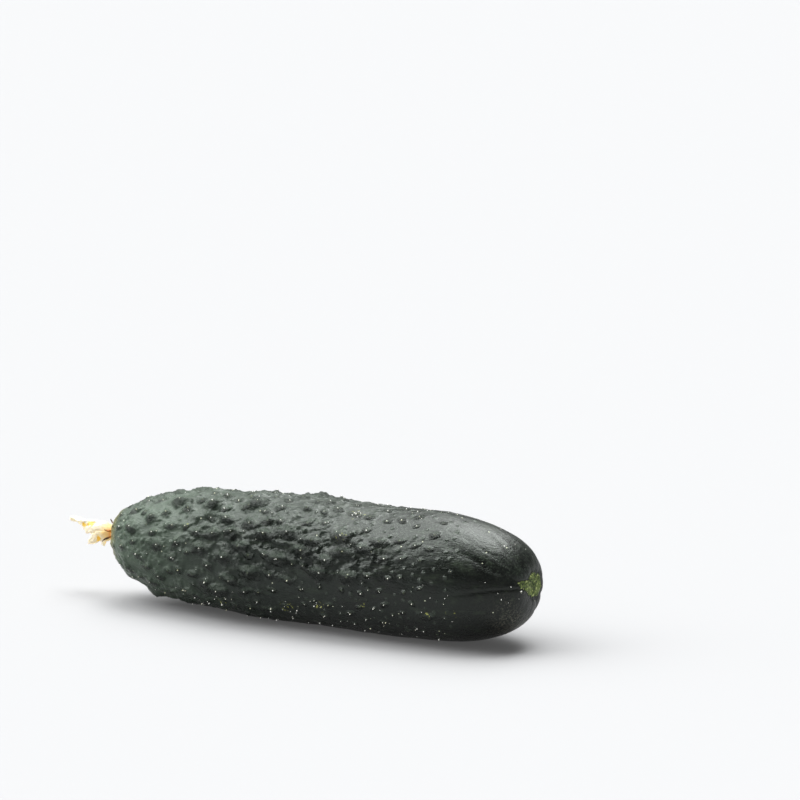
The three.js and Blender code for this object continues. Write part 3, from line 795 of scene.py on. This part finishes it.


# %% [markdown]
# ## The finish of the skin
#
# A dark, waxy green. It is greyer and lighter at the flower's end and almost
# black at the stalk's. Each wart has painted shade on its low side and a painted
# highlight on its high side. The top of the fruit is paler, partly from a pale
# wax and partly from painted light, and has painted glints. Streaks run along
# the fruit, and a few yellow-green flecks and pale pores are scattered over it.
# Fine grain in the bump breaks up the shine. The numbers of a span are its low
# and high end and, where they aren't 0 and 1, the two values that those ends
# become.

# %% Mix the skin's finish


def make_skin_finish():
    recipe = Recipe("waxy_cucumber_skin")
    span, value = recipe.span, recipe.value
    station = value("station")
    lift = value("lift")
    wart = value("wart")
    painted_shade_below = value("painted_shade_below")
    scar = value("scar")
    streaks = recipe.noise(420.0, along=0.25)
    specks = recipe.noise(1000.0, 2.0)
    patchy = recipe.noise(420.0, 2.0, 0.5)

    # the top of the fruit is paler: partly a pale wax, partly painted light
    wax_and_painted_top_light = recipe.math("MULTIPLY", span(lift, 0.45, 0.9),
                        span(station, 0.15, 0.5, 0.4, 0.12), span(station, 0.55, 0.85, 1.0, 0.0))
    # pale specks on the top of the fruit only: painted glints
    painted_top_glints = recipe.math("MULTIPLY", span(lift, 0.2, 0.7),
                        span(recipe.noise(1700.0, 2.0), 0.5, 0.66, 0.0, 0.2))
    # the high side of each wart, made paler as a painted highlight
    painted_wart_highlight = recipe.math("SUBTRACT", wart, recipe.math("MULTIPLY", painted_shade_below, 1.6))
    flecks = recipe.math("MULTIPLY", span(specks, 0.58, 0.66), span(patchy, 0.45, 0.55),
                         span(value("blemished"), 0.25, 0.6))
    distance, choice = recipe.cells(260.0)
    chosen = recipe.node("SeparateColor", Color=choice).outputs["Red"]
    dots = recipe.math("MULTIPLY", span(distance, 0.05, 0.08, 1.0, 0.0), span(chosen, 0.6, 0.62))
    stipple = recipe.math("MULTIPLY", span(recipe.noise(1500.0, 2.0), 0.5, 0.62),
                          span(value("speckled"), 0.1, 0.9), 0.75)
    fibre = recipe.noise(1300.0)
    frayed = recipe.math("ADD", scar, span(fibre, 0.3, 0.7, -0.3, 0.3))
    pale_star = recipe.layered(
        (22, 30, 16),
        (span(fibre, 0.38, 0.6), (98, 116, 56)),
        (span(patchy, 0.45, 0.65, 0.0, 0.6), (134, 152, 80)),
        (span(specks, 0.6, 0.66), (205, 214, 140)),
    )
    ground = recipe.layered(
        (67, 82, 67),
        (span(station, 0.0, 0.42), (24, 31, 25)),
        (span(station, 0.38, 0.75), (11, 13, 11)),
        (span(recipe.noise(60.0, 4.0), 0.4, 0.7, 0.0, 0.7), (18, 25, 19)),
        (span(streaks, 0.5, 0.8, 0.0, 0.22), (70, 84, 62)),
        # paler top: partly wax, partly painted light
        (wax_and_painted_top_light, (62, 75, 62)),
        # painted glints on the top of the fruit
        (painted_top_glints, (112, 126, 110)),
        # painted highlight on the high side of each wart
        (span(painted_wart_highlight, 0.15, 0.5, 0.0, 0.2), (104, 118, 103)),
        # painted shade on the low side of each wart
        (span(painted_shade_below, 0.2, 0.65, 0.0, 0.72), (9, 13, 10)),
        (span(value("tip"), 0.3, 0.9, 0.0, 0.5), (88, 98, 70)),
        (span(station, 0.004, 0.042, 0.75, 0.0), (118, 112, 52)),
        (flecks, (186, 188, 98)),
        (dots, (200, 204, 178)),
        (stipple, (104, 102, 90)),
        (span(frayed, 0.4, 0.8), pale_star),
        # painted shade in the crease round the scar
        (span(value("scar_rim"), 0.2, 0.9, 0.0, 0.85), (14, 16, 11)),
    )
    gloss = recipe.math(
        "ADD",
        span(station, 0.25, 0.68, 0.37, 0.285),
        span(value("crust"), 0.1, 0.9, 0.0, -0.06),
        span(recipe.noise(55.0), 0.3, 0.7, -0.04, 0.05),
        span(streaks, 0.3, 0.7, -0.05, 0.05),
        span(scar, 0.0, 1.0, 0.0, 0.25),
        span(station, 0.93, 0.985, 0.0, 0.16),
        span(wart, 0.1, 0.7, 0.0, -0.14),
    )
    recipe.set(Base_Color=ground, Roughness=gloss, Specular_IOR_Level=0.36,
               Specular_Tint=(0.93, 1.0, 0.94, 1.0))

    crags = recipe.math("MULTIPLY", recipe.noise(1100.0, 4.0, 0.65), span(wart, 0.1, 0.8))
    leathery = span(station, 0.5, 0.85, 1.0, 0.7)
    wrinkles = recipe.noise(650.0, 4.0, along=0.25)
    grain = recipe.noise(1500.0, along=0.5)
    recipe.bumps(
        (crags, 0.001),
        (recipe.math("MULTIPLY", wrinkles, leathery), 0.0003),
        (recipe.math("MULTIPLY", grain, leathery), 0.00022),
        (recipe.cells(2600.0)[0], 0.00002),
    )
    return recipe


finish_piece(skin, make_skin_finish(), "skin", "fruit")

# %% [markdown]
# ## The spines
#
# Most warts end in a short, blunt, pale spine. One is turned from a cone, then
# copied to the warts' tips and the copies are joined. It has few faces, because
# there are hundreds of it.

# %% Turn one spine
SPINE_RADIUS = 0.21
SPINE_TAPER = 0.6
SPINE_ROUNDING = 0.06
SPINE_HEIGHT = 0.6
SPINE_SINK = 0.3  # how deep its foot stands in the wart

deselect_all()
bpy.ops.mesh.primitive_cone_add(
    vertices=6, radius1=SPINE_RADIUS, radius2=SPINE_TAPER * SPINE_RADIUS,
    depth=SPINE_HEIGHT, location=(0, 0, SPINE_HEIGHT / 2 - SPINE_SINK))
spine = bpy.context.object
bpy.ops.object.transform_apply()
apply_modifier(spine, "BEVEL", "blunt tip", width=SPINE_ROUNDING, segments=1,
               limit_method="ANGLE")
spine_points = get_points(spine)
spine_faces = [tuple(face.vertices) for face in spine.data.polygons]
print("one spine:", len(spine_faces), "faces")

# %% Choose where spines stand
SPINES_ON_WART = [0, 0, 1, 1, 1, 1, 2]
SPINE_SCATTER = 1.3
SPINE_SIZE = 0.45
LOOSE_SPINE_SIZE = 0.5
SPINE_SIZE_SPREAD = 0.75
PIMPLE_SPINE_SHARE = 0.22
PIMPLE_SPINE_SIZE = 0.35
PIMPLE_SPINE_SPREAD = 0.3
# Station, turn, number and spread in millimetres of the loose clusters.
SPINE_CLUSTERS = [
    (170, 186, 9, 6.0), (87, 216, 5, 3.0), (110, 114, 6, 2.6), (100, 210, 4, 3.0),
    (57, 221, 5, 3.0), (150, 196, 6, 8.0), (130, 205, 7, 9.0), (160, 300, 6, 9.0),
    (158, 40, 6, 9.0), (165, 100, 4, 7.0), (45, 222, 5, 3.0), (38, 214, 4, 3.0),
]
SPINE_SEED = 77
spine_draw = make_draw(SPINE_SEED)
spots = []


def scatter(station, turn, number, spread):
    for _ in range(number):
        shift_along, shift_round = (2 * next(spine_draw) - 1 for _ in range(2))
        around = spread * shift_round / float(body_radius(station))
        size = LOOSE_SPINE_SIZE + SPINE_SIZE_SPREAD * next(spine_draw) ** 2
        there = min(max(station + spread * shift_along, 1), FRUIT_LENGTH - 1)
        spots.append((there, turn + around, size))


for wart in warts:
    number = SPINES_ON_WART[int(next(spine_draw) * len(SPINES_ON_WART))]
    if number:
        size = SPINE_SIZE + SPINE_SIZE_SPREAD * next(spine_draw)
        spots.append((wart["station"], wart["turn"], size))
        scatter(wart["station"], wart["turn"], number - 1, SPINE_SCATTER)
for pimple in pimples:
    if next(spine_draw) < PIMPLE_SPINE_SHARE:
        size = PIMPLE_SPINE_SIZE + PIMPLE_SPINE_SPREAD * next(spine_draw)
        spots.append((pimple["station"], pimple["turn"], size))
for station, turn, number, spread in SPINE_CLUSTERS:
    scatter(station, math.radians(turn), number, spread)
spots = [spot for spot in spots if belly_clear(spot[0], spot[1]) > 0.5]
print(len(spots), "spines")

# %% Set a copy of the spine on each spot
SPINE_LEAN = 0.5
stations, turns, sizes = np.array(spots).T
tips, tip_normals, _ = grow_skin(stations, turns)
all_points, all_faces = [], []
for tip, tip_normal, size in zip(tips, tip_normals, sizes):
    lean = Vector([next(spine_draw) - 0.5 for _ in range(3)]) * SPINE_LEAN
    turned = np.array((Vector(tip_normal) + lean).to_track_quat("Z", "Y").to_matrix())
    all_faces += [tuple(index + len(all_points) for index in face) for face in spine_faces]
    all_points += list((size * spine_points @ turned.T + tip) * MM)
spines = new_piece("wart_spines", all_points, all_faces)
bpy.data.objects.remove(spine)


def make_spine_finish():
    recipe = Recipe("pale_spine")
    tint = recipe.span(recipe.noise(900.0, 1.0, 0.5), 0.5, 0.7)
    white = recipe.mix(tint, (255, 255, 248), (236, 234, 196))
    # the spines also glow faintly: painted light that keeps them bright in shade
    recipe.set(Base_Color=white, Emission_Color=white, Emission_Strength=0.5, Roughness=0.35)
    return recipe


finish_piece(spines, make_spine_finish(), "petal")

# %% [markdown]
# ## The withered flower
#
# The flower stands on the fruit's blossom end. It is modelled upright, with its
# axis along +Z and in millimetres, and one matrix then lays it along -X on its
# seat. Its petals are one thin sheet, a short tube that parts into five
# shrivelled lobes, so one formula gives each lobe's rows of points.

# %% Sizes of the flower, in millimetres
SEAT_GAP = 0.3
CALYX_RADIUS = 3.3
CALYX_TOP_RADIUS = 2.5
CALYX_HEIGHT = 1.8
CALYX_SINK = 0.1
CALYX_RIM = 0.35
CALYX_STEP = 0.5
CALYX_ROUNDING = 0.22
# Turn, length, splay and curl of each sepal.
SEPALS = [
    (246, 4.8, 24, 62),
    (290, 3.4, 22, -10),
    (2, 3.6, 24, 30),
    (74, 7.4, 30, 26),
    (146, 4.2, 30, 50),
]
SEPAL_START = 2.7
SEPAL_RISE = 1.0
SEPAL_HALF_WIDTH = 0.36
TUBE_RADIUS = 2.3
TUBE_FLARE = 0.5
TUBE_LENGTH = 1.9
PETAL_CRUMPLE = 0.55
PETAL_CUP = 0.1
FIRST_PETAL_TURN = 22
# Length, half width, splay, curl and twist of each lobe.
PETALS = [
    (19.6, 2.9, 6, -8, 30),
    (9.0, 2.9, 24, -8, -25),
    (5.4, 2.3, 26, 20, 30),
    (7.4, 3.0, 38, 4, -20),
    (11.0, 3.6, 16, 0, 24),
]
PETAL_FOOT = CALYX_HEIGHT + SEAT_GAP
FLOWER_SEAT = Matrix.Translation(
    (BLOSSOM_X * MM, AXIS_ASIDE * MM, (AXIS_HEIGHT + BLOSSOM_RISE) * MM)
) @ Matrix.Rotation(-math.pi / 2, 4, "Y") @ Matrix.Scale(MM, 4)


def seat_flower_piece(piece):
    piece.data.transform(FLOWER_SEAT)
    piece.data.update()


# %% Rows of points along a blade
# In shares of a blade's half width: its foot, what its middle adds and its tip.
BLADE_FOOT = 0.62
BLADE_BELLY = 0.5
BLADE_TIP = 0.07
FULLEST = 2.7  # the larger, the nearer to the foot it is fullest
LEAST_ROLL = 0.001  # so that nothing is divided by zero
WAVES_ALONG = 9
WAVES_ACROSS = 2.2


def blade_rows(shape, steps):
    """Rows along a blade that is narrow at its foot, full in its middle and pointed."""
    up = np.array([0.0, 0.0, 1.0])
    angle = math.radians(shape["turn"])
    outward = np.array([math.cos(angle), math.sin(angle), 0.0])
    place = shape["start"] * outward + [0, 0, shape["rise"]]
    rows = []
    for step in range(steps + 1):
        share = step / steps
        lean = math.radians(shape["splay"] + shape["curl"] * share)
        heading = math.cos(lean) * up + math.sin(lean) * outward
        spin = Matrix.Rotation(math.radians(shape["twist"] * share), 3, Vector(heading))
        side = np.array(spin @ Vector(np.cross(up, outward)))
        taper = (BLADE_FOOT + BLADE_BELLY * math.sin(FULLEST * share)) * (1 - share ** 3)
        rows.append({
            "share": share, "place": place.copy(), "side": side,
            "face": np.cross(heading, side), "girth": shape["half_width"] * (taper + BLADE_TIP),
        })
        place = place + heading * shape["length"] / steps
    return rows


def blade_point(shape, row, across):
    """A point across a row, from -1 to 1. A rolled blade curls in at its edges."""
    roll = shape["roll"] * row["share"] + LEAST_ROLL
    offset = row["girth"] * math.sin(roll * across) / roll
    curl_in = row["girth"] * (1 - math.cos(roll * across)) / roll
    wave = math.sin(WAVES_ALONG * row["share"] + WAVES_ACROSS * across + shape["turn"])
    lift = shape["crumple"] * math.sqrt(row["share"]) * wave + shape["cup"] * offset ** 2
    return row["place"] + row["side"] * offset + row["face"] * (lift + curl_in)


# %% [markdown]
# ## The petals
#
# The sheet is laid out as rings of the tube that go on into the lobes' rows.
# It is then creased by noise, given its paper thickness and smoothed. Its edges
# are ragged and roll in, as dried petals do.

# %% Lay out the petals' sheet
TUBE_RINGS = 8
LOBE_STEPS = 54
LOBE_STRIPS = 26
PETAL_ROLL = 1.5
RAGGED = 0.28
RAGGED_SIZE = 1.3


def faces_between(below, above):
    """Faces that join two rows of points, each row given as its points' numbers."""
    return list(zip(below, below[1:], above[1:], above))


def petal_sheet():
    points, faces, marks = [], [], []
    lobes = len(PETALS)
    sides = lobes * LOBE_STRIPS
    mouth = None
    for ring in range(TUBE_RINGS + 1):
        share = ring / TUBE_RINGS
        radius = TUBE_RADIUS + TUBE_FLARE * share ** 2
        circle = [ring * sides + side % sides for side in range(sides + 1)]
        if mouth:
            faces += faces_between(mouth, circle)
        mouth = circle
        for side in range(sides):
            angle = math.radians(FIRST_PETAL_TURN + (side / LOBE_STRIPS - 0.5) * 360 / lobes)
            points.append((radius * math.cos(angle), radius * math.sin(angle),
                           PETAL_FOOT + TUBE_LENGTH * share))
            marks.append((-1, -0.2 * (1 - share), 0.0))
    for index, (length, half_width, splay, curl, twist) in enumerate(PETALS):
        shape = {
            "turn": FIRST_PETAL_TURN + index * 360 / lobes,
            "start": TUBE_RADIUS + TUBE_FLARE, "rise": PETAL_FOOT + TUBE_LENGTH,
            "length": length, "half_width": half_width, "splay": splay, "curl": curl,
            "twist": twist, "cup": PETAL_CUP, "crumple": PETAL_CRUMPLE, "roll": PETAL_ROLL,
        }
        below = mouth[index * LOBE_STRIPS:(index + 1) * LOBE_STRIPS + 1]
        for row in blade_rows(shape, LOBE_STEPS)[1:]:
            above = range(len(points), len(points) + LOBE_STRIPS + 1)
            faces += faces_between(below, above)
            below = above
            for strip in range(LOBE_STRIPS + 1):
                across = 2 * strip / LOBE_STRIPS - 1
                edge = Vector((row["share"] * length / RAGGED_SIZE, index + (across > 0) * 7.3, 0))
                raggedness = 1 + RAGGED * noise.noise(edge) * ramp(row["share"], 0.1, 0.4)
                points.append(blade_point(shape, row, across * raggedness))
                marks.append((index, row["share"], across))
    return points, faces, marks


sheet_points, sheet_faces, sheet_marks = petal_sheet()
petals = new_piece("dried_petals", sheet_points, sheet_faces)
print("petal sheet:", len(sheet_points), "points")

# %% Crease the petals and give them thickness
PETAL_THICKNESS = 0.14
CREASE_HEIGHT = 0.34
FLUTTER_HEIGHT = 0.75
# Lobe, place along it, place across it and size of each yellow stain.
STAINS = [
    (4, 0.62, 0.1, 0.17), (4, 0.85, -0.3, 0.12), (0, 0.36, -0.2, 0.1), (3, 0.45, 0.2, 0.14),
    (1, 0.4, 0.3, 0.16), (0, 0.62, 0.3, 0.06), (2, 0.6, 0.0, 0.15),
]
sheet = np.array(sheet_points)
normals = get_points(petals, "normal")
lobe, out, across = np.array(sheet_marks).T
free = ramp(out, -0.1, 0.4)
crease = ridges_at(sheet, 1.5, 2.0, 3) - 0.4
crease += 0.5 * (ridges_at(sheet, 0.7, 8.0, 3) - 0.4)
flutter = noise_at(sheet, 2.4, 6.0)
edge = np.abs(across) ** 3
veins = bell(across, 0.07) + 0.6 * bell(np.abs(across) - 0.45 * (1 - 0.4 * out), 0.05)
shift = free * (CREASE_HEIGHT * crease + FLUTTER_HEIGHT * flutter * (0.3 + edge)) + 0.08 * veins
stain = np.zeros(len(sheet))
for stained_lobe, stain_out, stain_across, reach in STAINS:
    apart = np.hypot(out - stain_out, 0.3 * (across - stain_across))
    stain = np.maximum(stain, np.where(lobe == stained_lobe, bell(apart, reach), 0.0))
set_points(petals, sheet + normals * shift[:, None])
for name, values in (("out", out), ("vein", veins), ("edge", edge), ("stain", stain)):
    store_value(petals, name, values)
apply_modifier(petals, "SOLIDIFY", "paper thickness", thickness=PETAL_THICKNESS, offset=0.0)
seat_flower_piece(petals)


def make_petal_finish():
    recipe = Recipe("withered_petal_paper")
    out = recipe.value("out")
    blotch = recipe.noise(700.0)
    stain = recipe.math("ADD", recipe.value("stain"), recipe.span(blotch, 0.3, 0.7, -0.3, 0.3))
    base = recipe.layered(
        (214, 186, 130),
        (recipe.span(out, 0.0, 0.3), (212, 202, 180)),
        (recipe.span(out, -0.2, -0.02, 1.0, 0.0), (214, 136, 48)),
        (recipe.span(stain, 0.45, 0.75, 0.0, 0.9), (216, 164, 22)),
        (recipe.span(recipe.value("vein"), 0.2, 1.0, 0.0, 0.3), (196, 160, 100)),
        (recipe.span(recipe.value("edge"), 0.6, 1.0, 0.0, 0.4), (206, 172, 144)),
    )
    # the petals also glow a little: painted light that fills their shade
    recipe.set(
        Base_Color=base, Emission_Color=base, Emission_Strength=0.28, Roughness=0.6,
        Subsurface_Weight=0.7, Subsurface_Radius=(1.0, 0.8, 0.5), Subsurface_Scale=0.0012)
    recipe.bumps((recipe.noise(2500.0), 0.00006))
    return recipe


finish_piece(petals, make_petal_finish(), "petal", "withered_petals")

# %% [markdown]
# ## The calyx
#
# The calyx is the dried foot of the flower: a low disc with five thin sepals
# that curl off its rim.

# %% Turn the calyx's disc
deselect_all()
bpy.ops.mesh.primitive_cylinder_add(
    vertices=48, radius=CALYX_RADIUS, depth=CALYX_HEIGHT,
    location=(0, 0, CALYX_HEIGHT / 2 - CALYX_SINK))
calyx = bpy.context.object
calyx.name = "dried_calyx"
bpy.ops.object.transform_apply()
bpy.ops.object.mode_set(mode="EDIT")
bpy.ops.mesh.select_all(action="DESELECT")
bpy.ops.object.mode_set(mode="OBJECT")
for face in calyx.data.polygons:
    face.select = face.normal.z > 0.9
bpy.ops.object.mode_set(mode="EDIT")
narrow = CALYX_TOP_RADIUS / CALYX_RADIUS
bpy.ops.transform.resize(value=(narrow, narrow, 1))
bpy.ops.mesh.inset(thickness=CALYX_RIM)
bpy.ops.transform.translate(value=(0, 0, -CALYX_RIM))
bpy.ops.mesh.inset(thickness=CALYX_STEP)
bpy.ops.object.mode_set(mode="OBJECT")
apply_modifier(calyx, "BEVEL", "soft rim", width=CALYX_ROUNDING, segments=3,
               limit_method="ANGLE")
apply_modifier(calyx, "SUBSURF", "smooth", levels=1, render_levels=1)
print("disc:", len(calyx.data.polygons), "faces")

# %% Curl the sepals off its rim
SEPAL_STEPS = 22
SEPAL_STRIPS = 6
SEPAL_THICKNESS = 0.26

sepals = []
for turn, length, splay, curl in SEPALS:
    shape = {
        "turn": turn, "length": length, "splay": splay, "curl": curl,
        "start": SEPAL_START, "rise": SEPAL_RISE, "half_width": SEPAL_HALF_WIDTH,
        "cup": 0.0, "crumple": 0.12, "twist": 25, "roll": 0.8,
    }
    points, faces, below = [], [], None
    for row in blade_rows(shape, SEPAL_STEPS):
        above = range(len(points), len(points) + SEPAL_STRIPS + 1)
        if below:
            faces += faces_between(below, above)
        below = above
        for strip in range(SEPAL_STRIPS + 1):
            points.append(blade_point(shape, row, 2 * strip / SEPAL_STRIPS - 1))
    sepal = new_piece("sepal", points, faces)
    crumple(sepal, 0.9, 0.12)
    apply_modifier(sepal, "SOLIDIFY", "thickness", thickness=SEPAL_THICKNESS, offset=0.0)
    sepals.append(sepal)
join_to(calyx, sepals)
rim = np.hypot(*get_points(calyx).T[:2])
crumple(calyx, 1.1, 0.14)
store_value(calyx, "rim", rim)
seat_flower_piece(calyx)


def make_calyx_finish():
    recipe = Recipe("dried_calyx_brown")
    brown = recipe.layered(
        (206, 130, 44),
        (recipe.span(recipe.noise(700.0), 0.35, 0.65), (160, 92, 30)),
        (recipe.span(recipe.value("rim"), 3.0, 4.4), (72, 50, 26)),
    )
    recipe.set(Base_Color=brown, Roughness=0.75)
    recipe.bumps((recipe.noise(2200.0, 3.0, 0.7), 0.0001))
    return recipe


finish_piece(calyx, make_calyx_finish(), "dried_calyx", "calyx")

# %% [markdown]
# ## The stigma
#
# Inside the tube stands the stigma, three fleshy yellow lobes on a short style.

# %% Model the stigma
STYLE_RADIUS = 0.55
STIGMA_LOBES = 3
LOBE_RADIUS = 0.74
LOBE_LEAN = math.radians(13)
LOBE_STRETCH = 1.7
LOBE_OUT = 0.8  # in radii of the lobe
LOBE_SINK = 0.2
LOBE_STEP = 0.07  # how much higher each lobe stands than the one before
STIGMA_HEIGHT = 4.6
STIGMA_TURN = 0.4
FUSE_SIZE = 0.12

deselect_all()
bpy.ops.mesh.primitive_cylinder_add(
    vertices=20, radius=STYLE_RADIUS, depth=STIGMA_HEIGHT,
    location=(0, 0, PETAL_FOOT + STIGMA_HEIGHT / 2))
stigma = bpy.context.object
stigma.name = "dried_stigma"
bpy.ops.object.transform_apply()
lobes = []
for index in range(STIGMA_LOBES):
    bpy.ops.mesh.primitive_uv_sphere_add(segments=20, ring_count=14, radius=LOBE_RADIUS)
    lobe = bpy.context.object
    height = PETAL_FOOT + STIGMA_HEIGHT - LOBE_SINK + LOBE_STEP * index
    lobe.data.transform(
        Matrix.Rotation(index / STIGMA_LOBES * 2 * math.pi + STIGMA_TURN, 4, "Z")
        @ Matrix.Translation((LOBE_OUT * LOBE_RADIUS, 0, height))
        @ Matrix.Rotation(LOBE_LEAN, 4, "Y")
        @ Matrix.Diagonal((1, 1, LOBE_STRETCH, 1)))
    lobes.append(lobe)
join_to(stigma, lobes)
apply_modifier(stigma, "REMESH", "fuse", mode="VOXEL", voxel_size=FUSE_SIZE)
crumple(stigma, 0.5, 0.08)
seat_flower_piece(stigma)


def make_stigma_finish():
    recipe = Recipe("dried_stigma_yellow")
    yellow = recipe.mix(recipe.noise(900.0, 3.0, 0.5), (226, 170, 44), (196, 128, 40))
    recipe.set(Base_Color=yellow, Roughness=0.7)
    recipe.bumps((recipe.noise(3000.0, 2.0, 0.5), 0.00008))
    return recipe


finish_piece(stigma, make_stigma_finish(), "stigma", "stigma")

# %% [markdown]
# ## The stage
#
# A pale floor, wide enough that no horizon shows. The light is a soft studio's:
# the ceiling, the back and the left are bright, and the front is dim, which
# gives the fruit its deep near side and its broad sheen on top.

# %% Lay the floor
STAGE_SIZE = 80.0
STAGE_GREY = (153, 153, 154)
STAGE_GLOW = 0.065  # a white table lit through, which lifts the shadow

deselect_all()
bpy.ops.mesh.primitive_plane_add(size=STAGE_SIZE)
floor = bpy.context.object
floor.name = "stage_floor"
stage_recipe = Recipe("stage_white")
stage_recipe.set(Base_Color=colour(STAGE_GREY), Emission_Color=colour((255, 255, 255)),
                 Emission_Strength=STAGE_GLOW, Roughness=1.0, Specular_IOR_Level=0.0)
floor.data.materials.append(stage_recipe.material)

# %% Light it with a soft window and a pale left side
AWAY = Vector((-0.515, 0.857, 0.0))  # level, away from the viewer
RIGHT = Vector((0.857, 0.515, 0.0))
UP = Vector((0.0, 0.0, 1.0))
# Each light's sides: a direction, and the two heights along it between which
# the light sets in.
WINDOW_SIDES = [
    (-RIGHT, (-0.50, -0.30)),
    (RIGHT, (-0.27, 0.14)),
    (AWAY, (-0.25, 0.05)),
    (-AWAY, (-1.25, -0.10)),
    (UP, (0.20, 0.90)),
]
WINDOW_LIGHT = 13.4
LEFT_SIDES = [
    (-RIGHT, (-0.15, 0.45)),
    (AWAY, (-0.36, -0.14)),
    (-AWAY, (-1.15, 0.05)),
    (UP, (0.00, 0.70)),
]
LEFT_LIGHT = 7.3
DIM_LIGHT = 0.12
LIGHT_WHITE = (254, 255, 255)

world = bpy.data.worlds.new("soft_studio")
bpy.context.scene.world = world
world.use_nodes = True
sky = Network(world.node_tree)
direction = sky.node("TexCoord").outputs["Generated"]


def side_of_light(towards, edge):
    """One soft side of a light: nothing below the first height, full above the second."""
    facing = sky.node("VectorMath")
    facing.operation = "DOT_PRODUCT"
    sky.feed(facing.inputs[0], direction)
    sky.feed(facing.inputs[1], towards)
    return sky.span(facing.outputs["Value"], *edge)


window, left = (
    sky.math("MULTIPLY", strength, *(side_of_light(*side) for side in sides))
    for strength, sides in ((WINDOW_LIGHT, WINDOW_SIDES), (LEFT_LIGHT, LEFT_SIDES)))
sky.fill(sky.tree.nodes["Background"], Color=colour(LIGHT_WHITE),
         Strength=sky.math("ADD", DIM_LIGHT, window, left))
bpy.context.scene.view_settings.view_transform = "Standard"
print("window light", WINDOW_LIGHT, "and left light", LEFT_LIGHT)
